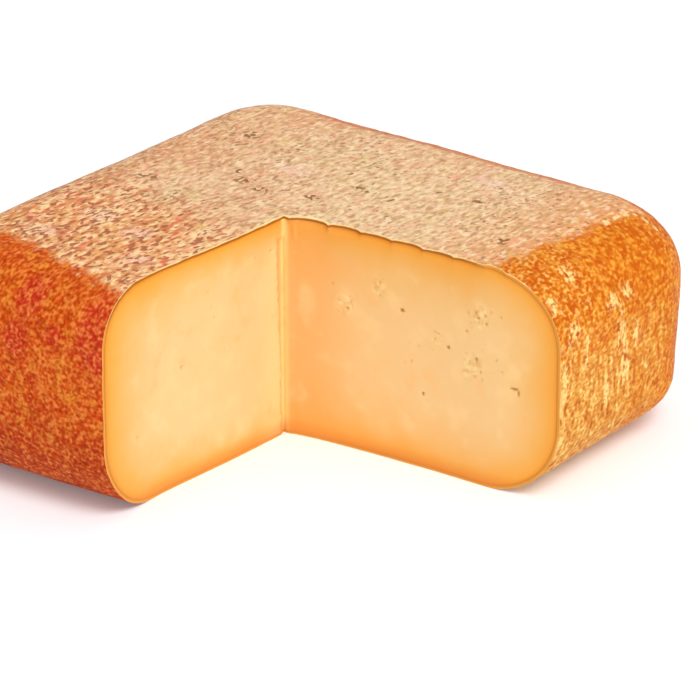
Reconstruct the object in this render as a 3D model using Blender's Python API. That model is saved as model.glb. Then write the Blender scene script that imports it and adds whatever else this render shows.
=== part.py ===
"""Mahon cheese: a square pressed block with rounded edges, and a corner portion cut out of it.

The block stands flat on its base, centred on the origin, with +Z up. The cut-out is at the
+X, -Y corner and goes right through from the top face to the base.
"""

import math

import bmesh
import bpy
from mathutils import Matrix, Vector

# Driving dimensions, in metres.
LENGTH = 0.1905         # along X
WIDTH = 0.1895          # along Y
HEIGHT = 0.076
CORNER_RADIUS = 0.030   # the upright corners, seen from above, at the block's waist
BACK_CORNER_RADIUS = 0.0272  # the same at the -X, +Y corner
EDGE_REACH = 0.026      # how far in from the sides the top and base edges begin to round over
TOP_EDGE_DROP = 0.025   # how far down the sides the top edge's rounding ends
BASE_EDGE_RISE = 0.026  # how far up the sides the base edge's rounding ends
CORNER_TIGHTENING = 0.7  # corner radius lost for each metre the edge rounding draws in
SIDE_BULGE = 0.0004     # how far the middle of a side stands out past its ends
FLARE = 0.0012          # how far the sides settle outwards from the top to the base
TOP_CROWN = 0.0005      # how far the top face falls away from its middle to its corners

# Towards the cut the -Y side leans in and its top edge is tighter, as the cloth left it.
FRONT_START = -0.080    # where along X that begins
FRONT_END = -0.004      # where along X it is complete
FRONT_RECESS = 0.0055   # how far in the side has come there
FRONT_REACH_LOST = 0.009
FRONT_DROP_LOST = 0.008

# The +X, +Y corner was pressed squarer: its base edge is tighter, and its sides lean outwards.
FAR_START = 0.015       # where along both X and Y that begins
FAR_END = 0.075         # where along both it is complete
FAR_RISE_LOST = 0.0078
FAR_LEAN = 0.0026       # how much further out the sides stand at the top than at the base
FAR_PIVOT = 0.59        # share of the height where the lean moves nothing

# The cut-out: where its two walls meet, and how far each strays from square, in degrees. The
# knife also wandered a little: pairs of distance along a wall and drift into the cheese.
CUT_CORNER = Vector((-0.0037, -0.0041, 0.0))
RIGHT_WALL_STRAY = 6.45
LEFT_WALL_STRAY = 2.0
RIGHT_WALL_DRIFT = (
    (0.006, 0.0012), (0.020, 0.00145), (0.034, 0.00145), (0.046, 0.0010), (0.058, 0.00045),
    (0.066, -0.00015), (0.074, -0.0008), (0.082, -0.0008), (0.092, 0.0), (0.190, 0.0),
)
LEFT_WALL_DRIFT = (
    (0.0215, -0.0002), (0.0395, 0.0005), (0.0575, 0.0013), (0.0655, 0.0007), (0.0745, -0.0007),
    (0.0835, -0.0012), (0.190, -0.0012),
)
KNIFE_OVERRUN = 0.03    # how far the knife runs clear of the block

# Facets: cells along a quarter-round, and along the flatter stretch between two of them.
ARC_CELLS = 7
FACE_CELLS = 10
WAIST_CELLS = 3

HALF_LENGTH = LENGTH / 2
HALF_WIDTH = WIDTH / 2


def stations(low, high, low_reach, high_reach, middle_cells):
    """Inner grid positions from low to high that fall at even angles along both quarter-rounds."""
    angles = [math.pi / 4 * step / ARC_CELLS for step in range(ARC_CELLS)]
    first = [low + low_reach * (1 - math.tan(angle)) for angle in angles[1:]]
    last = [high - high_reach * (1 - math.tan(angle)) for angle in angles[1:]]
    start, end = low + low_reach, high - high_reach
    middle = [start + (end - start) * step / middle_cells for step in range(middle_cells + 1)]
    return sorted(first + middle + last)


def clamp(value, low, high):
    return max(low, min(high, value))


def near_front(x):
    """0 to 1 along X, for how far the lean of the -Y side has built up."""
    return clamp((x - FRONT_START) / (FRONT_END - FRONT_START), 0.0, 1.0) ** 2


def near_far_corner(point):
    """0 to 1 for how near a point is to the +X, +Y corner."""
    return clamp((min(point.x, point.y) - FAR_START) / (FAR_END - FAR_START), 0.0, 1.0) ** 2


def round_edges(point):
    """Rounds the top and base edges over; also returns how far the side has drawn in there."""
    front = near_front(point.x) * clamp(-point.y / 0.06, 0.0, 1.0) if point.z > HEIGHT / 2 else 0.0
    inset = EDGE_REACH - FRONT_REACH_LOST * front
    drop = TOP_EDGE_DROP - FRONT_DROP_LOST * front
    base_rise = BASE_EDGE_RISE - FAR_RISE_LOST * near_far_corner(point)
    rise = drop if point.z > HEIGHT / 2 else base_rise
    core = Vector((
        clamp(point.x, inset - HALF_LENGTH, HALF_LENGTH - inset),
        clamp(point.y, inset - HALF_WIDTH, HALF_WIDTH - inset),
        clamp(point.z, base_rise, HEIGHT - drop),
    ))
    outward = point - core
    across = max(abs(outward.x), abs(outward.y)) / inset
    upward = outward.z / rise
    reach = math.hypot(across, upward)
    rounded = core + outward / reach
    return rounded, inset * (1 - across / reach)


def round_corners(point, drawn_in):
    """Turns the square section at this height into one with rounded corners."""
    back = point.x < 0 and point.y > 0
    radius = (BACK_CORNER_RADIUS if back else CORNER_RADIUS) - CORNER_TIGHTENING * drawn_in
    limit_x = HALF_LENGTH - drawn_in - radius
    limit_y = HALF_WIDTH - drawn_in - radius
    core = Vector((clamp(point.x, -limit_x, limit_x), clamp(point.y, -limit_y, limit_y), point.z))
    outward = point - core
    if outward.length == 0:
        return point
    return core + outward * (max(abs(outward.x), abs(outward.y)) / outward.length)


def settle(point):
    """Lets the pressed block bulge, flare towards its base and crown a little on top."""
    along = point.x / HALF_LENGTH
    across = point.y / HALF_WIDTH
    height = point.z / HEIGHT
    flare = FLARE * (1 - height) + FAR_LEAN * near_far_corner(point) * (height - FAR_PIVOT)
    grow_x = 1 + (flare - SIDE_BULGE * across ** 2) / HALF_LENGTH
    recess = FRONT_RECESS * near_front(point.x) if point.y < 0 else 0.0
    grow_y = 1 + (flare - SIDE_BULGE * along ** 2 - recess) / HALF_WIDTH
    fall = TOP_CROWN * height ** 3 * (along ** 2 + across ** 2) / 2
    return Vector((point.x * grow_x, point.y * grow_y, point.z - fall))


def press(point):
    rounded, drawn_in = round_edges(point)
    return settle(round_corners(rounded, drawn_in))


def slice_box(mesh, axis, positions):
    """Cuts the box into a grid, with a loop of edges at each position along an axis."""
    normal = Vector((0.0, 0.0, 0.0))
    normal[axis] = 1.0
    for position in positions:
        bmesh.ops.bisect_plane(
            mesh,
            geom=mesh.verts[:] + mesh.edges[:] + mesh.faces[:],
            plane_co=normal * position,
            plane_no=normal,
        )


def new_object(name, mesh, collection):
    data = bpy.data.meshes.new(name)
    mesh.to_mesh(data)
    mesh.free()
    obj = bpy.data.objects.new(name, data)
    collection.objects.link(obj)
    return obj


def new_collection(name):
    collection = bpy.data.collections.new(name)
    bpy.context.scene.collection.children.link(collection)
    return collection


def make_block(collection):
    """The whole cheese as it comes out of its square mould, before it is cut."""
    mesh = bmesh.new()
    size = Matrix.Diagonal((LENGTH, WIDTH, HEIGHT, 1.0))
    lift = Matrix.Translation((0.0, 0.0, HEIGHT / 2))
    bmesh.ops.create_cube(mesh, size=1.0, matrix=lift @ size)
    slice_box(mesh, 0, stations(-HALF_LENGTH, HALF_LENGTH, EDGE_REACH, EDGE_REACH, FACE_CELLS))
    slice_box(mesh, 1, stations(-HALF_WIDTH, HALF_WIDTH, EDGE_REACH, EDGE_REACH, FACE_CELLS))
    slice_box(mesh, 2, stations(0.0, HEIGHT, BASE_EDGE_RISE, TOP_EDGE_DROP, WAIST_CELLS))
    for vert in mesh.verts:
        vert.co = press(vert.co)
    block = new_object("cheese_block", mesh, collection)
    block.data.shade_smooth()
    return block


def make_knife(collection):
    """A prism that stands on the cut-out's corner, its near sides along the two walls."""
    right = math.radians(RIGHT_WALL_STRAY)
    left = math.radians(LEFT_WALL_STRAY)
    right_way = Vector((math.cos(right), math.sin(right), 0.0))
    left_way = Vector((-math.sin(left), -math.cos(left), 0.0))
    into_right = Vector((-right_way.y, right_way.x, 0.0))
    into_left = Vector((left_way.y, -left_way.x, 0.0))
    right_wall = [CUT_CORNER + right_way * far + into_right * in_ for far, in_ in RIGHT_WALL_DRIFT]
    left_wall = [CUT_CORNER + left_way * far + into_left * in_ for far, in_ in LEFT_WALL_DRIFT]
    far_corner = right_wall[-1] + left_wall[-1] - CUT_CORNER
    outline = [*reversed(left_wall), CUT_CORNER, *right_wall, far_corner]
    mesh = bmesh.new()
    low = [mesh.verts.new((place.x, place.y, -KNIFE_OVERRUN)) for place in outline]
    sole = mesh.faces.new(low)
    raised = bmesh.ops.extrude_face_region(mesh, geom=[sole])["geom"]
    for vert in raised:
        if isinstance(vert, bmesh.types.BMVert):
            vert.co.z = HEIGHT + KNIFE_OVERRUN
    bmesh.ops.recalc_face_normals(mesh, faces=mesh.faces)
    knife = new_object("knife", mesh, collection)
    knife.hide_render = True
    knife.display_type = "WIRE"
    return knife


def make_rind_material():
    material = bpy.data.materials.new("orange_rind")
    material.use_nodes = True
    shader = material.node_tree.nodes["Principled BSDF"]
    shader.inputs["Base Color"].default_value = (0.80, 0.36, 0.12, 1.0)
    shader.inputs["Roughness"].default_value = 0.5
    shader.inputs["Metallic"].default_value = 0.0
    return material


def main():
    for obj in list(bpy.data.objects):
        bpy.data.objects.remove(obj)

    parts = new_collection("mahon_cheese")
    cutters = new_collection("cutters")

    block = make_block(parts)
    block.data.materials.append(make_rind_material())

    cut = block.modifiers.new("corner_cut_out", "BOOLEAN")
    cut.operation = "DIFFERENCE"
    cut.solver = "EXACT"
    cut.object = make_knife(cutters)


main()
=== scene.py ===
"""Looks of a mahon cheese: a square pressed block with a corner portion cut out of it."""

import math
import random

import bmesh
import bpy
import numpy as np
from mathutils import Matrix, Vector, noise
from mathutils.bvhtree import BVHTree


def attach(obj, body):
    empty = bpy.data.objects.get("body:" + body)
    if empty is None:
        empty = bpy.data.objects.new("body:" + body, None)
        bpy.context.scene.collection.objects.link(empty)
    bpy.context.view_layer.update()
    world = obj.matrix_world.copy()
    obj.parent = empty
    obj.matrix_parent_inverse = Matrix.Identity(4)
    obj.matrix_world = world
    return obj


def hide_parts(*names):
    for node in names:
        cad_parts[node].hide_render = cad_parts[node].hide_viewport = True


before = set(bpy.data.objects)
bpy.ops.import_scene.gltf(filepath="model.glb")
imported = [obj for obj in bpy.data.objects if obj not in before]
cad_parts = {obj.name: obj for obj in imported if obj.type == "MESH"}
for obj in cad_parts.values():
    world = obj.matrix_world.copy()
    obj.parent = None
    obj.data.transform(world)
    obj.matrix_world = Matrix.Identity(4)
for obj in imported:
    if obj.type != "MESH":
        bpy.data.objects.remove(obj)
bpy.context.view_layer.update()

MM = 0.001

# ---------------------------------------------------------------------------- the pressed block
# Fresh curd is tied in a square cloth and pressed, which leaves a block with a flat base, full
# soft edges and four rounded upright corners. The rind and the paste under it share this form.
HALF_LENGTH = 95.25 * MM
HALF_WIDTH = 94.75 * MM
HEIGHT = 76.0 * MM
CORNER_RADIUS = 30.0 * MM
BACK_CORNER_RADIUS = 27.2 * MM
EDGE_REACH = 26.0 * MM
TOP_EDGE_DROP = 25.0 * MM
BASE_EDGE_RISE = 26.0 * MM
CORNER_TIGHTENING = 0.7
SIDE_BULGE = 0.4 * MM
FLARE = 1.2 * MM
TOP_CROWN = 0.5 * MM
# Towards the cut the -Y side leans in and its top edge is tighter, as the cloth left it.
FRONT_START = -80.0 * MM
FRONT_END = -4.0 * MM
FRONT_RECESS = 5.5 * MM
FRONT_REACH_LOST = 9.0 * MM
FRONT_DROP_LOST = 8.0 * MM
# The +X, +Y corner was pressed squarer: its base edge is tighter and its sides lean outwards.
FAR_START = 15.0 * MM
FAR_END = 75.0 * MM
FAR_RISE_LOST = 7.8 * MM
FAR_LEAN = 2.6 * MM
FAR_PIVOT = 0.59
# How far the hand-tied block swells and sinks all over, save at its base, where it settled flat.
BROAD_SWELL = 0.45 * MM
NARROW_SWELL = 0.22 * MM
SETTLED_HEIGHT = 12.0 * MM


def spread(share, low, high, low_reach, high_reach):
    """Positions from low to high for even shares of the way over both rounded edges."""
    low_arc = low_reach * math.pi / 4
    high_arc = high_reach * math.pi / 4
    flat = high - low - low_reach - high_reach
    walked = share * (low_arc + flat + high_arc)
    past_low = np.clip((low_arc - walked) / low_reach, 0, math.pi / 4)
    past_high = np.clip((walked - low_arc - flat) / high_reach, 0, math.pi / 4)
    straight = low + low_reach + np.clip(walked - low_arc, 0, flat)
    return straight - low_reach * np.tan(past_low) + high_reach * np.tan(past_high)


def near_front(x):
    """0 to 1 along X, for how far the lean of the -Y side has built up."""
    return np.clip((x - FRONT_START) / (FRONT_END - FRONT_START), 0, 1) ** 2


def near_far_corner(x, y):
    """0 to 1 for how near a point is to the squarer +X, +Y corner."""
    return np.clip((np.minimum(x, y) - FAR_START) / (FAR_END - FAR_START), 0, 1) ** 2


def press(box, skin):
    """Points on a box of shares 0 to 1 become points on the block, skin deep under its outside."""
    half_x = HALF_LENGTH - skin
    half_y = HALF_WIDTH - skin
    low, high = skin, HEIGHT - skin
    edge = EDGE_REACH - skin
    x = spread(box[:, 0], -half_x, half_x, edge, edge)
    y = spread(box[:, 1], -half_y, half_y, edge, edge)
    z = spread(box[:, 2], low, high, BASE_EDGE_RISE - skin, TOP_EDGE_DROP - skin)

    front = near_front(x) * np.clip(-y / (60 * MM), 0, 1) * (z > HEIGHT / 2)
    reach = edge - FRONT_REACH_LOST * front
    drop = TOP_EDGE_DROP - skin - FRONT_DROP_LOST * front
    rise = BASE_EDGE_RISE - skin - FAR_RISE_LOST * near_far_corner(x, y)
    core_x = np.clip(x, reach - half_x, half_x - reach)
    core_y = np.clip(y, reach - half_y, half_y - reach)
    core_z = np.clip(z, low + rise, high - drop)
    across = np.maximum(abs(x - core_x), abs(y - core_y)) / reach
    upward = (z - core_z) / np.where(z > HEIGHT / 2, drop, rise)
    length = np.hypot(across, upward)
    x = core_x + (x - core_x) / length
    y = core_y + (y - core_y) / length
    z = core_z + (z - core_z) / length
    drawn_in = reach * (1 - across / length)

    outer = np.where((x < 0) & (y > 0), BACK_CORNER_RADIUS, CORNER_RADIUS)
    radius = outer - skin - CORNER_TIGHTENING * drawn_in
    limit_x = half_x - drawn_in - radius
    limit_y = half_y - drawn_in - radius
    core_x = np.clip(x, -limit_x, limit_x)
    core_y = np.clip(y, -limit_y, limit_y)
    out_x = x - core_x
    out_y = y - core_y
    length = np.hypot(out_x, out_y)
    turn = np.maximum(abs(out_x), abs(out_y)) / np.maximum(length, 1e-9)
    x = core_x + out_x * turn
    y = core_y + out_y * turn

    along = x / HALF_LENGTH
    across = y / HALF_WIDTH
    height = z / HEIGHT
    flare = FLARE * (1 - height) + FAR_LEAN * near_far_corner(x, y) * (height - FAR_PIVOT)
    recess = FRONT_RECESS * near_front(x) * (y < 0)
    grown_x = x * (1 + (flare - SIDE_BULGE * across ** 2) / HALF_LENGTH)
    grown_y = y * (1 + (flare - SIDE_BULGE * along ** 2 - recess) / HALF_WIDTH)
    fall = TOP_CROWN * height ** 3 * (along ** 2 + across ** 2) / 2
    return np.stack([grown_x, grown_y, z - fall], axis=1)


def lumps(points, size, seed):
    """Smooth noise from -1 to 1 at each point, in lumps of size millimetres along X, Y and Z."""
    scale = 1 / (np.array(size) * MM)
    shift = np.array((seed, seed * 1.7, -seed))
    return np.array([noise.noise(Vector(place)) for place in points * scale + shift])


def unevenness(points):
    """How far the block swells or sinks at each point; nothing at its flat base."""
    settled = np.clip(points[:, 2] / SETTLED_HEIGHT, 0, 1)
    broad = lumps(points, (46, 46, 40), 4.0) * BROAD_SWELL
    narrow = lumps(points, (17, 17, 15), 9.0) * NARROW_SWELL
    return (broad + narrow) * settled


def read_points(mesh):
    """The mesh's points as rows of a numpy array."""
    flat = np.empty(len(mesh.vertices) * 3, np.float32)
    mesh.vertices.foreach_get("co", flat)
    return flat.reshape(-1, 3).astype(float)


def swell(mesh, amount):
    """Moves each point of a mesh along its own normal."""
    normals = np.empty(len(mesh.vertices) * 3, np.float32)
    mesh.vertices.foreach_get("normal", normals)
    points = read_points(mesh) + normals.reshape(-1, 3) * amount[:, None]
    mesh.vertices.foreach_set("co", points.astype(np.float32).ravel())
    mesh.update()


def pressed_block(name, spacing, skin):
    """The block as a closed mesh of even cells, its surface skin deep under the outside."""
    bm = bmesh.new()
    bmesh.ops.create_cube(bm, size=1.0, matrix=Matrix.Translation((0.5, 0.5, 0.5)))
    flat_side = 2 * (HALF_LENGTH - EDGE_REACH) + EDGE_REACH * math.pi / 2
    flat_height = HEIGHT - (1 - math.pi / 4) * (TOP_EDGE_DROP + BASE_EDGE_RISE)
    for axis, way in enumerate((flat_side, flat_side, flat_height)):
        along = [
            edge for edge in bm.edges
            if abs((edge.verts[0].co - edge.verts[1].co)[axis]) > 0.5
        ]
        bmesh.ops.subdivide_edges(bm, edges=along, cuts=round(way / spacing[axis]) - 1)
    mesh = bpy.data.meshes.new(name)
    bm.to_mesh(mesh)
    bm.free()
    mesh.vertices.foreach_set("co", press(read_points(mesh), skin).astype(np.float32).ravel())
    mesh.update()
    swell(mesh, unevenness(read_points(mesh)))
    return mesh


def search_tree(mesh):
    corners = [vert.co for vert in mesh.vertices]
    return BVHTree.FromPolygons(corners, [tuple(face.vertices) for face in mesh.polygons])


def store(mesh, name, values):
    """Keeps one number for each point of a mesh, for its material to read."""
    data = mesh.attributes.new(name, "FLOAT", "POINT").data
    data.foreach_set("value", np.asarray(values, np.float32))


# ---------------------------------------------------------------------------- the knife's cuts
# Two upright cuts meet close to the middle and take out one corner. The knife drifted and dragged
# in the firm paste, chipped the dry rim in scallops and opened small eyes; where the two cuts
# meet, the paste broke rather than parted and left a ragged line.
CUT_CORNER = Vector((-3.7 * MM, -4.1 * MM, 0.0))
RIGHT_WALL_STRAY = math.radians(6.45)
LEFT_WALL_STRAY = math.radians(2.0)
KNIFE_SPAN = 104.0 * MM
KNIFE_OVERRUN = 6.0 * MM
KNIFE_PITCH = 0.42 * MM
SLIVER = 0.02 * MM
SHARP_ANGLE = math.radians(50)
CUT_SLOT = 1            # the material slot of whatever the knife cut

right_way = Vector((math.cos(RIGHT_WALL_STRAY), math.sin(RIGHT_WALL_STRAY), 0.0))
left_way = Vector((-math.sin(LEFT_WALL_STRAY), -math.cos(LEFT_WALL_STRAY), 0.0))
into_right = Vector((-right_way.y, right_way.x, 0.0))
into_left = Vector((left_way.y, -left_way.x, 0.0))
into_corner = (into_left * 0.96 + into_right * 0.28).normalized()

# All of these are in millimetres: distance along a wall, then drift into the cheese.
RIGHT_DRIFT = (
    (0, 0), (6, 1.2), (20, 1.45), (34, 1.45), (46, 1.0), (58, 0.45), (66, -0.15), (74, -0.8),
    (82, -0.8), (92, 0.0), (120, 0.0),
)
LEFT_DRIFT = (
    (0, 0), (21.5, -0.2), (39.5, 0.5), (57.5, 1.3), (65.5, 0.7), (74.5, -0.7), (83.5, -1.2),
    (120, -1.2),
)
# Bites out of the right wall's upper rim: middle, half width and depth.
RIM_BITES = (
    (9.0, 6.6, 2.2), (21.8, 5.9, 2.1), (33.3, 5.9, 1.5), (44.8, 5.6, 1.5), (56.6, 5.2, 0.9),
    (66.4, 4.2, 0.7), (77.0, 3.4, 1.3), (86.0, 4.5, 0.5), (94.0, 3.5, 0.5),
)
# Eyes and small tears: distance along the wall and height, half width, half height and depth.
RIGHT_EYES = [
    (84.3, 36.0, 1.7, 0.6, 0.8), (85.7, 34.8, 0.6, 1.2, 0.7), (60.1, 44.2, 0.7, 0.7, 0.9),
    (42.8, 52.6, 0.9, 0.8, 0.9), (50.9, 25.9, 0.6, 0.7, 0.8), (22.6, 48.6, 0.6, 0.7, 0.6),
    (17.1, 56.0, 0.5, 0.5, 0.4), (70.3, 58.7, 0.5, 0.5, 0.5), (71.1, 57.0, 0.5, 0.6, 0.6),
    (73.6, 58.3, 0.5, 0.5, 0.5), (74.0, 55.7, 0.5, 0.6, 0.6), (66.9, 51.6, 0.5, 0.6, 0.5),
    (70.6, 42.9, 0.5, 0.8, 0.7), (68.2, 41.0, 0.4, 0.7, 0.4), (72.2, 38.9, 0.4, 0.6, 0.5),
    (70.1, 37.0, 0.5, 0.5, 0.5), (72.9, 36.3, 0.4, 0.5, 0.4), (78.0, 44.4, 0.4, 0.5, 0.4),
]
LEFT_EYES = [
    (6.4, 66.0, 0.7, 0.6, 0.5), (14.0, 66.0, 0.5, 0.5, 0.4), (48.0, 40.0, 0.8, 0.6, 0.6),
    (70.0, 24.0, 0.6, 0.6, 0.5), (33.0, 52.0, 0.5, 0.7, 0.5),
]
# Loose clusters of the finest pits: distance along the wall, height, spread and number.
RIGHT_PITS = (
    (71, 57, 5.0, 8), (71, 41, 4.5, 10), (22, 50, 4.0, 6), (34, 58, 4.0, 5), (48, 38, 9.0, 5),
)
LEFT_PITS = ((30, 45, 12.0, 10), (60, 52, 9.0, 8))
# Where the right wall's paste crumbled under the blade: distance along it, height and reach.
CRUMBLY_PLACES = ((71, 57, 5.0), (70, 40, 5.5), (22, 50, 4.5), (34, 58, 4.0), (56, 47, 3.0))
# The blade's other marks; a depth is into the cheese where it is positive.
SLOW_WAVER = 0.25
SHORT_WAVER = 0.05
SCRATCHES = 0.03
RIM_PROUD = -0.9        # the right wall's rim between two bites
RIM_WEAR = 2.1          # how far down the walls the wear of the rim reaches
TORN_HOLLOW = 0.65      # the torn strip at the left wall's inner end
TORN_TOP = 69.5         # the height that it reaches
TORN_LEAST = 1.4        # its width low down, how much wider it gets, how far its line strays
TORN_GAIN = 1.6
TORN_RAGGED = 0.9
RIDGE = -0.35           # a crumbled ridge that stands proud high on the right wall
RIDGE_PLACE = 3.4       # and how far it is from the inner corner

random.seed(11)
for eyes, clusters in ((RIGHT_EYES, RIGHT_PITS), (LEFT_EYES, LEFT_PITS)):
    for middle, level, reach, number in clusters:
        for _ in range(number):
            place = random.gauss(middle, reach * 0.6)
            size = random.uniform(0.3, 0.45)
            eyes.append((place, random.gauss(level, reach * 0.6), size, size * 1.2, size * 0.8))


def eye_share(walked, height):
    """0 to 1 for how deep in an eye each place on the walls is, and the eyes' depths in metres."""
    share = np.zeros(len(walked))
    depth = np.zeros(len(walked))
    for side, eyes in ((1, RIGHT_EYES), (-1, LEFT_EYES)):
        for place, level, half_width, half_height, sunk in eyes:
            across = (walked * side / MM - place) / half_width
            upward = (height / MM - level) / half_height
            inside = np.clip(1 - across ** 2 - upward ** 2, 0, 1) ** 0.5
            share = np.maximum(share, inside * min(1, 0.25 + sunk * 0.6))
            depth = np.maximum(depth, inside * sunk * MM)
    return share, depth


def ease(value, low, high):
    """0 at low and 1 at high, with a smooth ramp between."""
    share = np.clip((value - low) / (high - low), 0, 1)
    return share * share * (3 - 2 * share)


def knife_path(along, drift):
    """How far the knife had wandered, smoothed, for distances along a wall in millimetres."""
    places, amounts = zip(*drift)
    near = [np.interp(along + offset, places, amounts) for offset in (-6, -3, 0, 3, 6)]
    return sum(near) / len(near) * ease(along, 0, 4)


def torn_width(height):
    """How far from the corner the left wall is torn, in millimetres, at each height."""
    level = height / MM
    places = np.stack([np.zeros(len(height)), np.zeros(len(height)), height], axis=1)
    ragged = TORN_RAGGED * lumps(places, (1, 1, 2.6), 9.2)
    return TORN_LEAST + TORN_GAIN * ease(level, 10, 62) + ragged


def wall_relief(walked, height):
    """How far the cut surface lies into the cheese from its flat plane, in metres."""
    right = walked > 0
    along = abs(walked) / MM
    level = height / MM
    places = np.stack([walked, np.zeros(len(walked)), height], axis=1)

    drift = np.where(right, knife_path(along, RIGHT_DRIFT), knife_path(along, LEFT_DRIFT))
    drift += lumps(places, (30, 1, 34), 3.1) * SLOW_WAVER * ease(along, 2, 12)
    scratches = lumps(places, (1.8, 1, 1.8), 1.3) * SCRATCHES
    drift += lumps(places, (5, 1, 26), 7.7) * SHORT_WAVER + scratches
    bite = RIM_PROUD * ease(along, 0, 3) * (1 - ease(along, 40, 66) * 0.45)
    for middle, half_width, depth in RIM_BITES:
        bite += depth * np.clip(1 - ((along - middle) / half_width) ** 2, 0, 1) ** 0.5
    bite = np.where(right, bite, lumps(places, (7, 1, 400), 5.2) * 0.5)
    rim = np.exp(-(np.clip(HEIGHT / MM - level, 0, 20) / RIM_WEAR) ** 2)
    drift += bite * rim

    hollow = TORN_HOLLOW * ease(along, torn_width(height) + 0.5, torn_width(height) - 0.3)
    ridge = RIDGE * np.exp(-((along - RIDGE_PLACE) / 0.5) ** 2) * ease(level, 67, 70)
    drift += np.where(right, ridge, hollow * ease(level, TORN_TOP, TORN_TOP - 2))
    return drift * MM + eye_share(walked, height)[1]


def make_knife():
    """A closed prism whose two near walls are finely faceted and carry the marks of the cut."""
    columns = 2 * round(KNIFE_SPAN / KNIFE_PITCH)
    rows = round((HEIGHT + 2 * KNIFE_OVERRUN) / KNIFE_PITCH)
    walked = np.tile(np.linspace(-KNIFE_SPAN, KNIFE_SPAN, columns + 1), rows + 1)
    height = np.linspace(-KNIFE_OVERRUN, HEIGHT + KNIFE_OVERRUN, rows + 1).repeat(columns + 1)
    walked[abs(walked) < KNIFE_PITCH / 2] = 0
    right = (walked > 0)[:, None]
    corner = (walked == 0)[:, None]
    way = np.where(right, right_way, left_way)
    into = np.where(right, into_right, into_left)
    into = np.where(corner, into_corner, into)
    points = np.array(CUT_CORNER) + way * abs(walked)[:, None]
    points += into * wall_relief(walked, height)[:, None]
    points[:, 2] = height

    bm = bmesh.new()
    bmesh.ops.create_grid(bm, x_segments=columns, y_segments=rows, size=1.0)
    for vert, place in zip(bm.verts, points):
        vert.co = place
    top = HEIGHT + KNIFE_OVERRUN
    far = CUT_CORNER + (right_way + left_way) * KNIFE_SPAN
    bm.verts.ensure_lookup_table()
    per_row = columns + 1
    low_row = [bm.verts[i] for i in range(per_row)]
    high_row = [bm.verts[len(bm.verts) - per_row + i] for i in range(per_row)]
    left_end = [bm.verts[i * per_row] for i in range(rows + 1)]
    right_end = [bm.verts[i * per_row + columns] for i in range(rows + 1)]
    low_far = bm.verts.new((far.x, far.y, -KNIFE_OVERRUN))
    high_far = bm.verts.new((far.x, far.y, top))
    bm.faces.new([*low_row, low_far])
    bm.faces.new([*reversed(high_row), high_far])
    bm.faces.new([*left_end, high_far, low_far])
    bm.faces.new([*reversed(right_end), low_far, high_far])
    bmesh.ops.recalc_face_normals(bm, faces=bm.faces)
    for face in bm.faces:
        face.material_index = CUT_SLOT
    mesh = bpy.data.meshes.new("knife")
    bm.to_mesh(mesh)
    bm.free()
    made = bpy.data.objects.new("knife", mesh)
    bpy.context.scene.collection.objects.link(made)
    return made


def cut_out(name, mesh):
    """A new object of what the knife leaves of a closed mesh, without the cut's finest slivers."""
    piece = bpy.data.objects.new(name, mesh)
    bpy.context.scene.collection.objects.link(piece)
    cut = piece.modifiers.new("cut", "BOOLEAN")
    cut.operation = "DIFFERENCE"
    cut.solver = "EXACT"
    cut.object = knife
    seen = piece.evaluated_get(bpy.context.evaluated_depsgraph_get())
    piece.data = bpy.data.meshes.new_from_object(seen)
    piece.modifiers.clear()
    bm = bmesh.new()
    bm.from_mesh(piece.data)
    bmesh.ops.dissolve_degenerate(bm, dist=SLIVER, edges=bm.edges)
    bm.to_mesh(piece.data)
    bm.free()
    piece.data.shade_smooth()
    piece.data.set_sharp_from_angle(angle=SHARP_ANGLE)
    return piece


knife = make_knife()
knife_tree = search_tree(knife.data)

# ---------------------------------------------------------------------------- the paste
# The firm, slightly moist curd inside, pale in the middle and deeper orange-yellow towards the
# rind, where it dries. Its two cut walls are what the knife leaves.
RIND_THICKNESS = 0.9 * MM
COARSE_CELLS = (3.4 * MM, 3.4 * MM, 3.4 * MM)
PALE_DEPTH = 30.0       # how far under the rind the paste is at its palest, in millimetres


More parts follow.
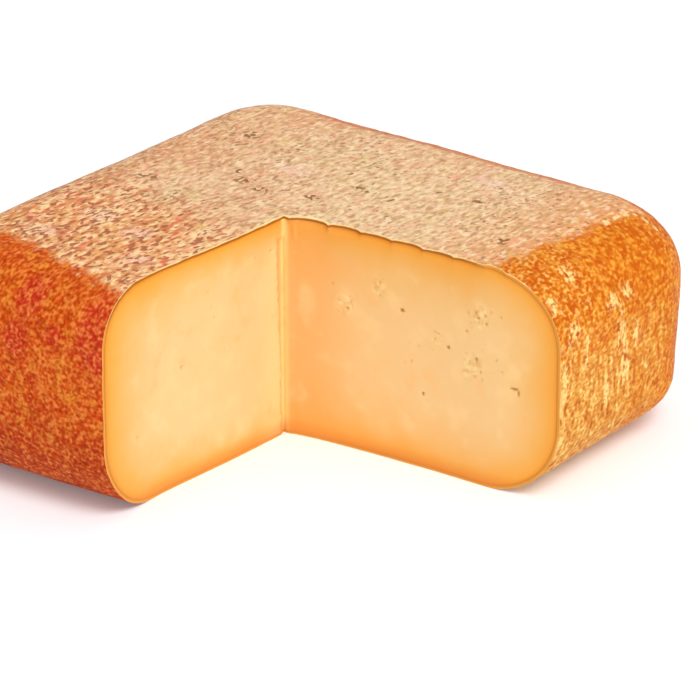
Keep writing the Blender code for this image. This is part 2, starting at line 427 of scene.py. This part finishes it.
class Shade:
    """A socket of a material's tree. Arithmetic adds Math nodes; make() adds any other node."""

    def __init__(self, tree, socket=None):
        self.tree = tree
        self.socket = socket

    def make(self, kind, settings, inputs, output=0):
        node = self.tree.nodes.new("ShaderNode" + kind)
        for name, value in settings.items():
            setattr(node, name, value)
        for name, value in inputs.items():
            if isinstance(value, Shade):
                self.tree.links.new(value.socket, node.inputs[name])
            else:
                node.inputs[name].default_value = value
        return Shade(self.tree, node.outputs[output])

    def math(self, operation, *values):
        return self.make("Math", {"operation": operation}, dict(enumerate((self, *values))))

    def __add__(self, other):
        return self.math("ADD", other)

    __radd__ = __add__

    def __sub__(self, other):
        return self.math("SUBTRACT", other)

    def __rsub__(self, other):
        return (self * -1.0) + other

    def __mul__(self, other):
        return self.math("MULTIPLY", other)

    __rmul__ = __mul__

    def __abs__(self):
        return self.math("ABSOLUTE")

    def over(self, low, high):
        """0 below low and 1 above high, or the other way round, with a smooth ramp between."""
        ends = {"From Min": low, "From Max": high}
        return self.make(
            "MapRange", {"interpolation_type": "SMOOTHSTEP"}, {"Value": self, **ends}
        )

    def towards(self, colour, share):
        """This colour mixed with another one."""
        return self.make(
            "Mix", {"data_type": "RGBA"}, {"Factor": share, 6: self, 7: colour}, 2
        )

    def tinted(self, *tints):
        """This colour under a series of tints, each a colour and the share it takes."""
        made = self
        for colour, share in tints:
            made = made.towards(colour, share)
        return made

    def towards_value(self, other, share):
        """This number mixed with another one."""
        return self + (other - self) * share

    def stretched(self, size, seed):
        """This position counted in lengths of size along X, Y and Z, shifted as the seed says."""
        return self.make(
            "VectorMath",
            {"operation": "MULTIPLY_ADD"},
            {0: self, 1: [1 / length for length in size], 2: (seed, seed * 1.7, -seed)},
        )

    def grain(self, size, seed, detail=1.0, distortion=0.0):
        """Noise from 0 to 1 at this position, its lumps about size millimetres along X, Y, Z."""
        place = self.stretched(size, seed)
        settings = {"Vector": place, "Scale": 1.0, "Detail": detail, "Distortion": distortion}
        return self.make("TexNoise", {}, settings)

    def waver(self, size, seed, reach, detail=1.0):
        """The same noise, but straying by up to half of reach to either side of zero."""
        return (self.grain(size, seed, detail) - 0.5) * reach

    def beads(self, size, seed):
        """Evenly crowded spots about size millimetres apart: 0.8 at their middles, 0.3 between."""
        place = self.stretched(size, seed)
        return 0.78 - self.make("TexVoronoi", {}, {"Vector": place, "Scale": 1.0}) * 0.5

    def ramp(self, *stops):
        """The colour for this value among stops of position and colour."""
        made = self.make("ValToRGB", {}, {"Fac": self})
        elements = made.socket.node.color_ramp.elements
        for place, colour in stops[2:]:
            elements.new(place)
        for element, (place, colour) in zip(elements, stops):
            element.position = place
            element.color = colour
        return made


def srgb(red, green, blue):
    """A colour given in 0 to 255 display values, as the shader's own linear one."""
    shares = [value / 255 for value in (red, green, blue)]
    linear = [
        share / 12.92 if share <= 0.04045 else ((share + 0.055) / 1.055) ** 2.4
        for share in shares
    ]
    return (*linear, 1.0)


def start_material(name, **constants):
    """A new material: its Principled node, and the position in the part's frame in millimetres."""
    material = bpy.data.materials.new(name)
    material.use_nodes = True
    principled = material.node_tree.nodes["Principled BSDF"]
    for socket, value in constants.items():
        principled.inputs[socket.replace("_", " ")].default_value = value
    tree = Shade(material.node_tree)
    place = tree.make("TexCoord", {}, {}, "Object")
    millimetres = tree.make("VectorMath", {"operation": "SCALE"}, {0: place, "Scale": 1000.0})
    return material, principled, millimetres


def stored(shade, name):
    return shade.make("Attribute", {"attribute_name": name}, {}, "Fac")


def plain(shade, colour):
    made = shade.make("RGB", {}, {})
    made.socket.default_value = colour
    return made


def connect(principled, **sources):
    for socket, source in sources.items():
        target = principled.inputs[socket.replace("_", " ")]
        source.tree.links.new(source.socket, target)


inside = pressed_block("paste_outside", COARSE_CELLS, RIND_THICKNESS)
inside_tree = search_tree(inside)
paste = cut_out("cut_paste", inside.copy())
for face in paste.data.polygons:
    face.material_index = 0
points = read_points(paste.data)
depths = np.array([inside_tree.find_nearest(Vector(point))[3] for point in points])
offsets = points - np.array(CUT_CORNER)
along_right = offsets @ np.array(right_way)
along_left = offsets @ np.array(left_way)
on_left = along_left > along_right
walked = np.where(on_left, -along_left, along_right)
# The left wall's bands of colour are narrower near the inner corner than at its outer end.
narrowed = 1.6 - 0.8 * ease(along_left, 25 * MM, 75 * MM)
store(paste.data, "under_rind", depths / MM * np.where(on_left, narrowed, 1.0))
store(paste.data, "eyes", eye_share(walked, points[:, 2])[0] * (depths > 2 * MM))
store(paste.data, "from_corner", walked / MM)
crumbled = np.zeros(len(points))
for middle, level, reach in CRUMBLY_PLACES:
    away = np.hypot(walked / MM - middle, points[:, 2] / MM - level)
    crumbled = np.maximum(crumbled, np.exp(-(away / reach) ** 2))
store(paste.data, "crumbly", crumbled)
store(paste.data, "torn_width", torn_width(points[:, 2]))

paste_look, shader, place = start_material(
    "cheese_paste",
    Subsurface_Weight=0.2,
    Subsurface_Radius=(1.0, 0.45, 0.15),
    Subsurface_Scale=0.002,
    Specular_IOR_Level=0.3,
)
z = place.make("SeparateXYZ", {}, {0: place}, 2)
depth = stored(place, "under_rind")
from_corner = stored(place, "from_corner")
past_tear = from_corner + stored(place, "torn_width")
well_inside = depth.over(5.0, 14.0)

# Bands of colour that follow the rind, and wander a little.
wander = place.grain((11.0, 11.0, 13.0), 3.0, 2.0) - 0.5
band = (depth + wander * depth.over(0.0, 8.0) * 9.0) * (1 / PALE_DEPTH)
colour = band.ramp(
    (0.0, srgb(196, 112, 24)),
    (0.018, srgb(238, 150, 42)),
    (0.05, srgb(246, 166, 58)),
    (0.14, srgb(245, 176, 80)),
    (0.25, srgb(244, 184, 101)),
    (0.42, srgb(244, 193, 121)),
    (0.70, srgb(245, 201, 137)),
    (1.0, srgb(245, 203, 141)),
)

# The right wall stays orange near the inner corner; the torn strip beside it is paler.
torn = past_tear.over(-0.3, 0.3) * (1.0 - z.over(67.5, 69.5))
near_corner = from_corner.over(34.0, 3.0) * torn.math("MAXIMUM", from_corner.over(-0.4, 0.2))
tear_line = abs(past_tear).over(0.8, 0.2) * z.over(70.0, 67.0)
pale_side = past_tear.over(-0.4, -1.6) * from_corner.over(-16.0, -3.0) * z.over(72.0, 62.0)
colour = colour.tinted(
    (srgb(246, 168, 80), near_corner * 0.6),
    # Paler within about 2 mm of the inner corner: painted light that offsets the shade of the
    # crease.
    (srgb(255, 224, 144), abs(from_corner).over(2.2, 0.2) * 0.8),
    (srgb(228, 176, 92), tear_line * 0.45),
    (srgb(254, 220, 150), pale_side * 0.6),
    # Deeper orange within a few millimetres of the base: painted shadow where the walls meet the
    # table.
    (srgb(226, 132, 48), z.over(7.0, 0.5) * 0.6),
)

# Soft blotches all over, then the crumbly places and the eyes.
blotch = place.grain((8.0, 8.0, 9.0), 8.0, 2.0)
crumb = place.grain((2.0, 2.0, 1.6), 14.0, 1.0)
crumbly = (stored(place, "crumbly") + place.waver((5.0, 5.0, 6.0), 43.0, 1.2)).over(0.35, 1.0)
colour = colour.tinted(
    (srgb(255, 214, 152), blotch.over(0.50, 0.75) * well_inside * 0.45),
    (srgb(252, 182, 106), blotch.over(0.46, 0.25) * well_inside * 0.35),
    (srgb(255, 228, 156), crumb.over(0.50, 0.64) * crumbly * 0.6),
    # The darker crumb marks are painted shade between the crumbs.
    (srgb(222, 168, 92), crumb.over(0.44, 0.32) * crumbly * 0.55),
    # The eyes are darkened the deeper they are: painted shade inside their hollows.
    (srgb(188, 132, 56), stored(place, "eyes").over(0.05, 1.0) * 0.75),
)
connect(shader, Base_Color=colour, Roughness=place.grain((2.0, 2.0, 2.0), 5.0) * 0.2 + 0.38)
paste.data.materials.append(paste_look)
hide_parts("cheese_block")
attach(paste, "root")

# ---------------------------------------------------------------------------- the rind
# A thin dried skin that was rubbed with oil and paprika while the cheese aged: deep orange on the
# sides, worn to beige where the flat faces lay on the shelf, with the weave's fine streaks.
FINE_CELLS = (0.88 * MM, 0.88 * MM, 1.0 * MM)
FLAT_ON_TABLE = 0.001 * MM
RIM_REACH = 12.0 * MM
# How far its grain stands up, in millimetres: on the sides, on the top and in the low wrinkles.
FINE_GRAIN = 0.10
COARSE_GRAIN = 0.12
WEAVE_GRAIN = 0.14
WRINKLES = 0.22
WRINKLE_SLOPE = 0.18    # how much they climb for each length along X
# Where the beige of the top face gives way to orange on each side, in millimetres.
LID_RIGHT = 67.5
LID_LEFT = -90.0
LID_FRONT = -64.0
LID_BACK = 78.0
# Marks on it, each by its middle and then its half sizes along X, Y and Z, in millimetres.
PALE_SCUFFS = (
    (95, 15.6, 56.4, 6, 2.6, 3.4), (95, 12.6, 52.0, 6, 1.6, 3.0), (95, 21.6, 45.0, 6, 0.9, 7.5),
    (94, 37.0, 58.6, 6, 3.4, 2.6), (95, 40.6, 48.5, 6, 2.7, 8.5), (95, 43.0, 36.6, 6, 2.3, 8.0),
    (94, 45.5, 58.8, 6, 2.2, 2.6), (86, 23.6, 69.6, 5, 3.0, 2.4), (90, 10.0, 65.5, 4, 2.4, 2.6),
    (95, 33.0, 30.0, 6, 2.2, 5.0), (95, 9.5, 40.0, 6, 1.3, 8.0), (95, 49.0, 44.0, 6, 1.6, 5.0),
)
WORN_EDGE = (
    (77.9, 56.8, 74.3, 1.0, 3.2, 2.0), (77.8, 62.5, 74.1, 1.0, 3.2, 2.0),
    (78.0, 67.6, 73.6, 1.1, 2.6, 2.0), (79.2, 71.4, 72.4, 1.4, 1.2, 2.0),
    (82.0, 72.9, 71.0, 1.6, 1.1, 2.0), (85.0, 74.4, 68.6, 1.6, 1.2, 2.2),
)
RED_PATCHES = (
    (-36, -88, 70, 5, 6, 8), (-8, -88, 64, 7, 8, 14), (-38, -93, 56, 4, 5, 5),
    (-24, -93, 60, 3, 5, 3), (-70, -92, 40, 9, 6, 12), (-94, -40, 44, 6, 14, 10),
)
PINK_PATCHES = (
    (-50, -39, 76, 7, 5, 4), (-57, -60, 74, 9, 6, 4), (31, 59, 76, 8, 3, 4),
    (-30, -44, 76, 6, 6, 4), (-16, -60, 76, 5, 5, 4), (-26, 30, 76, 8, 4, 4),
    (86, 52, 66, 5, 12, 4),
)
PIT_CLUSTERS = (
    (-40, 17, 76, 3, 2, 4), (-33, 12, 76, 4, 3, 4), (-24, 9, 76, 3, 2, 4),
    (-36, 45, 75, 2, 1.4, 4), (-9, 37, 76, 1.2, 1.2, 4), (3, 29, 76, 5, 1.4, 4),
    (-6, 14, 76, 4, 2.4, 4), (8, 14, 76, 2, 2, 4), (14, 28, 76, 2, 3, 4),
    (24, 41, 76, 1.4, 1.4, 4), (38, 43, 76, 2, 1.4, 4), (36, 57, 76, 2, 1.4, 4),
    (62, 22, 76, 3, 3, 4), (-57, 45, 75, 4, 3, 4), (-60, -5, 76, 4, 3, 4),
)


def patches(points, spots):
    """0 to 1 for how near each point is to any of the marks, with soft edges."""
    share = np.zeros(len(points))
    for spot in spots:
        away = (points / MM - spot[:3]) / spot[3:]
        share = np.maximum(share, np.exp(-(away ** 2).sum(axis=1) * 0.7))
    return share


outside = pressed_block("rind_outside", FINE_CELLS, 0.0)
points = read_points(outside)
on_top = ease(points[:, 2], 66 * MM, 73 * MM)
near_base = ease(points[:, 2], 30 * MM, 12 * MM)
tilted = points.copy()
tilted[:, 2] += points[:, 0] * WRINKLE_SLOPE
rough = lumps(points, (2.3, 2.3, 2.3), 2.0) * FINE_GRAIN
rough += lumps(points, (5.5, 5.5, 5.5), 6.0) * COARSE_GRAIN
streaky = lumps(points, (2.4, 8.0, 2.4), 3.0) * WEAVE_GRAIN
streaky += lumps(points, (7.0, 14.0, 7.0), 8.0) * COARSE_GRAIN
wrinkled = lumps(tilted, (9.0, 9.0, 1.9), 5.0) * WRINKLES
relief = streaky * on_top + (1 - on_top) * (rough + wrinkled * near_base)
relief *= ease(points[:, 2], 0.3 * MM, 5 * MM)
swell(outside, relief * MM)

rind_mesh = bpy.data.meshes.new("rind")
bm = bmesh.new()
bm.from_mesh(inside)
bmesh.ops.reverse_faces(bm, faces=bm.faces)
bm.from_mesh(outside)
base = [face for face in bm.faces if all(vert.co.z < FLAT_ON_TABLE for vert in face.verts)]
bmesh.ops.dissolve_faces(bm, faces=base)
bm.to_mesh(rind_mesh)
bm.free()
outside_tree = search_tree(outside)
rind = cut_out("rubbed_rind", rind_mesh)
points = read_points(rind.data)
near_cut = [knife_tree.find_nearest(Vector(point), RIM_REACH)[3] for point in points]
near_cut = np.array([RIM_REACH if distance is None else distance for distance in near_cut])
store(rind.data, "from_cut", near_cut / MM)
skin = np.zeros(len(points))
for face in rind.data.polygons:
    if face.material_index == CUT_SLOT:
        for index in face.vertices:
            skin[index] = outside_tree.find_nearest(Vector(points[index]))[3]
store(rind.data, "skin", skin / MM)
store(rind.data, "scuffed", patches(points, PALE_SCUFFS))
store(rind.data, "worn_edge", patches(points, WORN_EDGE))
store(rind.data, "reddened", patches(points, RED_PATCHES))
store(rind.data, "pinkish", patches(points, PINK_PATCHES))
store(rind.data, "pitted", patches(points, PIT_CLUSTERS))

rind_look, shader, place = start_material("rubbed_rind", Roughness=0.5, Specular_IOR_Level=0.05)
x, y, z = [place.make("SeparateXYZ", {}, {0: place}, axis) for axis in range(3)]
from_cut = stored(place, "from_cut")

# Its grain: flecks and tall streaks on the sides, dashes and lines on the top, specks all over.
fleck = place.grain((1.3, 1.4, 1.2), 4.0, 0.4)
fleck = fleck.towards_value(place.beads((2.3, 2.3, 2.2), 4.0), 0.5)
streak = place.grain((1.5, 1.5, 4.4), 27.0, 0.6)
streak = streak.towards_value(place.beads((2.6, 2.6, 6.5), 27.0), 0.5)
dash = place.grain((1.5, 2.9, 1.5), 6.0, 0.3, 0.3)
dash = dash.towards_value(place.beads((2.4, 3.8, 2.4), 6.0), 0.5)
line = place.grain((1.35, 2.6, 1.35), 49.0, 0.0, 0.2)
speck = place.grain((1.0, 1.5, 1.0), 13.0, 0.0)

# The lid: beige wherever the block lay flat, with a ragged border on its rounded edges.
past_right = (x - LID_RIGHT - y * 0.1).math("MAXIMUM", 0.0)
past_left = (LID_LEFT - x).math("MAXIMUM", 0.0)
past_front = (LID_FRONT - y - (x + 58.0).math("MAXIMUM", 0.0) * 0.22).math("MAXIMUM", 0.0)
past = (past_right + past_left).math("POWER", 2.0) + past_front.math("POWER", 2.0)
ragged = place.waver((3.0, 9.0, 3.0), 1.0, 10.0, 2.0) + (fleck - 0.5) * 9.0
to_back = y + (fleck - 0.5) * 5.0 - x.over(-50.0, -80.0) * 9.0 - LID_BACK
lid = (past.math("SQRT") + ragged).over(6.5, 2.0) * z.over(58.0, 64.0) * to_back.over(1.5, -1.0)

# It is more orange and more streaked towards -Y, and streaked along the -X edge.
front_streaks = (y + x * 0.25 + place.waver((24.0, 24.0, 24.0), 7.0, 40.0)).over(-9.0, -37.0)
side_streaks = (x + (fleck - 0.5) * 14.0).over(-54.0, -80.0) * y.over(74.0, 52.0) * 0.6
streaked = front_streaks.math("MAXIMUM", side_streaks)
smooth = 1.0 - streaked
tint = place.grain((22.0, 34.0, 22.0), 11.0, 2.0)
tone = place.grain((2.6, 8.0, 2.6), 45.0, 1.0)
row = place.grain((2.8, 24.0, 2.8), 57.0, 1.0)
pinkish = stored(place, "pinkish") + (tone - 0.5) * 0.8
cream = plain(place, srgb(232, 190, 150)).tinted(
    (srgb(230, 172, 126), tint.over(0.50, 0.64) * 0.5),
    (srgb(228, 200, 150), tint.over(0.46, 0.34) * 0.6),
    (srgb(238, 160, 88), front_streaks * (y.over(-6.0, -44.0) * 0.7 + 0.25)),
    (srgb(236, 206, 160), x.over(-25.0, 15.0) * y.over(80.0, 35.0) * 0.6),
    (srgb(232, 146, 74), (x - y * 0.1).over(34.0, 76.0) * 0.88),
    (srgb(222, 140, 84), (x - y * 0.4).over(-46.0, -74.0) * 0.35),
    (srgb(242, 156, 120), tone.over(0.52, 0.68) * 0.45),
    (srgb(228, 192, 120), tone.over(0.48, 0.34) * 0.4),
    (srgb(246, 202, 188), pinkish.over(0.3, 0.9) * 0.55),
    (srgb(204, 116, 66), row.over(0.52, 0.64) * (streaked * 0.4 + 0.08)),
    (srgb(252, 216, 172), row.over(0.47, 0.37) * (streaked * 0.45 + 0.1)),
)

# The cloth's light and dark marks, a red blush, a little bleaching and small dark pits.
blush = place.grain((2.4, 4.6, 2.4), 15.0).over(0.60, 0.72)
tick = place.grain((1.3, 1.9, 1.3), 19.0, 0.0)
tick_field = place.grain((14.0, 20.0, 14.0), 53.0, 1.0).over(0.46, 0.60)
pit = tick.over(0.53, 0.64) * stored(place, "pitted").over(0.3, 0.7)
pit = pit.math("MAXIMUM", tick.over(0.68, 0.75) * tick_field * 0.6)
cream = cream.tinted(
    (srgb(255, 226, 184), dash.over(0.50, 0.65) * smooth * 0.65),
    (srgb(255, 218, 162), dash.over(0.51, 0.62) * streaked * 0.85),
    (srgb(184, 130, 80), dash.over(0.49, 0.36) * smooth * 0.5),
    (srgb(190, 104, 46), dash.over(0.49, 0.38) * streaked * 0.75),
    (srgb(172, 112, 64), line.over(0.42, 0.30) * smooth * 0.5),
    (srgb(158, 62, 24), line.over(0.44, 0.34) * streaked * 0.9),
    (srgb(184, 120, 70), speck.over(0.46, 0.30) * 0.25),
    (srgb(222, 84, 58), blush * streaked * 0.7),
    (srgb(255, 218, 172), 0.1),
    (srgb(138, 84, 36), pit * 0.85),
)

# The sides: orange, redder towards -X and -Y where more of the rub stayed on, and darker below.
redness = (x + y + place.waver((30.0, 30.0, 30.0), 2.0, 50.0)).over(70.0, -80.0)
yellowness = 1.0 - redness
patch = place.grain((13.0, 13.0, 11.0), 21.0, 2.0)
mottle = place.grain((4.6, 4.6, 5.4), 47.0, 2.0)
low = (z + place.waver((18.0, 18.0, 10.0), 23.0, 30.0)).over(42.0, 8.0)
side = plain(place, srgb(224, 126, 22)).tinted(
    (srgb(216, 82, 16), redness),
    (srgb(206, 92, 10), z.over(48.0, 70.0) * 0.45),
    (srgb(208, 62, 26), patch.over(0.56, 0.72) * redness * 0.4),
    (srgb(234, 136, 40), patch.over(0.44, 0.30) * (1.0 - redness * 0.5) * 0.5),
    (srgb(200, 76, 6), mottle.over(0.52, 0.68) * yellowness * 0.55),
    (srgb(244, 164, 52), mottle.over(0.48, 0.34) * 0.35),
    (srgb(180, 60, 20), low * redness * 0.65),
    (srgb(206, 44, 34), stored(place, "reddened").over(0.15, 0.7) * 0.7),
)

# The +X side is worn pale in its lower part, and scuffed above that.
worn = (y + place.waver((9.0, 9.0, 14.0), 25.0, 60.0, 2.0)).over(74.0, 40.0)
worn = worn * (z + place.waver((6.0, 6.0, 9.0), 26.0, 40.0)).over(56.0, 34.0)
worn = worn * x.over(60.0, 84.0)
scuff = stored(place, "scuffed") + place.waver((1.2, 1.2, 2.8), 28.0, 1.8, 2.0)
scuff = (scuff + (streak - 0.5) * 1.2).over(0.40, 0.95)
rubbed = (worn + scuff).math("MINIMUM", 1.0)

# Light and dark grain over all that: flecks, drawn out into streaks where the side is worn.
grainy = fleck.towards_value(streak, worn * 0.6)
strong = rubbed * 0.4 + 0.6
light = plain(place, srgb(246, 178, 70)).tinted(
    (srgb(255, 222, 130), rubbed),
    (srgb(246, 142, 70), redness),
)
dark = plain(place, srgb(188, 78, 4)).tinted(
    (srgb(192, 94, 22), worn),
    (srgb(172, 38, 6), redness),
)
dark_speck = plain(place, srgb(184, 92, 12)).towards(srgb(150, 36, 8), redness)
yellow_speck = speck.over(0.57, 0.66) * x.over(60.0, 80.0) * y.over(46.0, 22.0)
leaning = place.make("CombineXYZ", {}, {"X": x, "Y": y, "Z": z + x * WRINKLE_SLOPE})
wrinkle = leaning.grain((9.0, 9.0, 1.1), 29.0, 0.6)
side = side.tinted(
    (srgb(228, 158, 66), worn * 0.8),
    (srgb(255, 218, 140), scuff * 0.85),
    (light, grainy.over(0.50, 0.66) * strong),
    (srgb(246, 168, 76), speck.over(0.56, 0.70) * redness * 0.3),
    (srgb(252, 212, 122), yellow_speck * 0.45),
    (dark_speck, speck.over(0.44, 0.30) * 0.45),
    # The dark grain lies where the bump is lowest: partly the rind's own colour, partly painted
    # shade in the hollows between the raised grains.
    (dark, grainy.over(0.51, 0.38) * strong),
    (srgb(150, 44, 16), wrinkle.over(0.50, 0.34) * low * redness * 0.45),
    # Darkest red within a few millimetres of the base: painted shadow where the side meets the
    # table.
    (srgb(150, 40, 20), z.over(6.0, 1.0) * redness * 0.8),
)

# Beside the cut the +X side has a pale strip that is partly wear and partly painted highlight, and
# the top's edge along the cut carries a painted highlight. The skin is rubbed pale where the top
# meets the +X side, and is redder where the top meets the +Y side.
cut_edge_highlight = from_cut + place.waver((1.5, 1.5, 1.5), 31.0, 1.2) - x.over(16.0, 8.0) * x.over(-6.0, -2.0)
cut_edge_highlight = cut_edge_highlight.over(0.5, 0.1) * (y + x * 0.1).over(-70.0, -56.0) * z.over(68.0, 73.0)
beside_cut = (from_cut + place.waver((2.5, 2.5, 3.5), 33.0, 3.0)).over(2.6, 1.4)
beside_cut = beside_cut * x.over(80.0, 90.0) * abs(z - 35.0).over(23.0, 17.0)
beside_cut = beside_cut * place.grain((4.0, 4.0, 6.0), 41.0, 1.0).over(0.38, 0.52)
back_line = (y + (fleck - 0.5) * 5.0).over(72.6, 75.4) * (y + (streak - 0.5) * 7.0).over(81.5, 78.0)
back_line = back_line * z.over(62.0, 70.0) * x.over(-62.0, -44.0) * x.over(66.0, 44.0)
worn_edge = (stored(place, "worn_edge") + place.waver((1.4, 2.6, 1.4), 51.0, 1.4)).over(0.45, 0.85)
skin_colour = side.tinted(
    # Pale strip beside the cut: partly wear, partly painted highlight.
    (srgb(252, 214, 130), beside_cut * 0.6),
    (cream, lid),
    (srgb(208, 106, 50), back_line * 0.75),
    (srgb(252, 222, 160), worn_edge * 0.75),
    # Painted highlight along the top's edge at the cut.
    (srgb(254, 232, 172), cut_edge_highlight * 0.8),
)

up_top = z.over(60.0, 73.0)
height = grainy * (1.0 - up_top) + (dash + line) * 0.6 * up_top - pit * 0.6
normal = place.make("Bump", {}, {"Strength": 0.8, "Distance": 0.0009, "Height": height})
connect(shader, Base_Color=skin_colour, Normal=normal)
rind.data.materials.append(rind_look)

# The rind's own cut edge, by how deep under the outside it lies.
rim_look, shader, place = start_material("cut_rind", Roughness=0.5, Specular_IOR_Level=0.3)
rim = (stored(place, "skin") + place.waver((3.0, 3.0, 3.0), 35.0, 0.4)) * (MM / RIND_THICKNESS)
# On the top, the pale outer part of this ramp is a painted highlight where the cut edge catches the
# light.
upper_rim = rim.ramp(
    (0.0, srgb(255, 214, 138)),
    (0.22, srgb(250, 196, 110)),
    (0.40, srgb(162, 90, 20)),
    (1.0, srgb(178, 98, 20)),
)
lower_rim = rim.ramp(
    (0.0, srgb(238, 172, 76)),
    (0.3, srgb(232, 158, 58)),
    (0.6, srgb(218, 142, 44)),
    (1.0, srgb(226, 148, 48)),
)
x, z = [place.make("SeparateXYZ", {}, {0: place}, axis) for axis in (0, 2)]
connect(shader, Base_Color=lower_rim.towards(upper_rim, x.over(72.0, 60.0) * z.over(62.0, 72.0)))
rind.data.materials.append(rim_look)
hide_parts("cheese_block")
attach(rind, "root")
bpy.data.objects.remove(knife)

# ---------------------------------------------------------------------------- the studio
# A plain white table under one broad soft lamp, with even white light from all round. The camera
# stands far off with a long lens, a little above the block and in front of its cut-out.
FLOOR_SIZE = 4.0
LAMP_AZIMUTH = math.radians(70.0)
LAMP_ELEVATION = math.radians(54.0)
LAMP_DISTANCE = 3.0
LAMP_SIZE = 1.3
LAMP_POWER = 50.5
SURROUND_STRENGTH = 0.62
CAMERA_AZIMUTH = math.radians(37.76)
CAMERA_ELEVATION = math.radians(24.36)
CAMERA_DISTANCE = 1.2053
CAMERA_AIM = Vector((12.24 * MM, 9.48 * MM, 28.97 * MM))
CAMERA_LENS = 192.8
CAMERA_SENSOR = 36.0
WHITE = (1.0, 1.0, 1.0, 1.0)


def place_around(made, aim, azimuth, elevation, distance):
    """Adds an object at a distance from a point, turned to face it; azimuth 0 is towards -Y."""
    away = Vector((
        math.sin(azimuth) * math.cos(elevation),
        -math.cos(azimuth) * math.cos(elevation),
        math.sin(elevation),
    ))
    made.location = aim + away * distance
    made.rotation_euler = away.to_track_quat("Z", "Y").to_euler()
    bpy.context.scene.collection.objects.link(made)


floor_mesh = bpy.data.meshes.new("table")
bm = bmesh.new()
bmesh.ops.create_grid(bm, x_segments=1, y_segments=1, size=FLOOR_SIZE)
bm.to_mesh(floor_mesh)
bm.free()
floor = bpy.data.objects.new("white_table", floor_mesh)
bpy.context.scene.collection.objects.link(floor)
floor_look, shader, place = start_material(
    "white_table",
    Base_Color=(0.92, 0.95, 0.98, 1.0),
    Roughness=0.8,
    Specular_IOR_Level=0.0,
    Emission_Color=WHITE,
    Emission_Strength=0.12,
)
floor.data.materials.append(floor_look)

light_data = bpy.data.lights.new("key", "AREA")
light_data.size = LAMP_SIZE
light_data.energy = LAMP_POWER
lamp = bpy.data.objects.new("key", light_data)
place_around(lamp, Vector(), LAMP_AZIMUTH, LAMP_ELEVATION, LAMP_DISTANCE)

world = bpy.data.worlds.new("studio")
world.use_nodes = True
background = world.node_tree.nodes["Background"]
background.inputs["Color"].default_value = WHITE
background.inputs["Strength"].default_value = SURROUND_STRENGTH
bpy.context.scene.world = world
bpy.context.scene.view_settings.view_transform = "Standard"

camera_data = bpy.data.cameras.new("camera")
camera_data.lens = CAMERA_LENS
camera_data.sensor_width = CAMERA_SENSOR
camera = bpy.data.objects.new("camera", camera_data)
place_around(camera, CAMERA_AIM, CAMERA_AZIMUTH, CAMERA_ELEVATION, CAMERA_DISTANCE)
bpy.context.scene.camera = camera
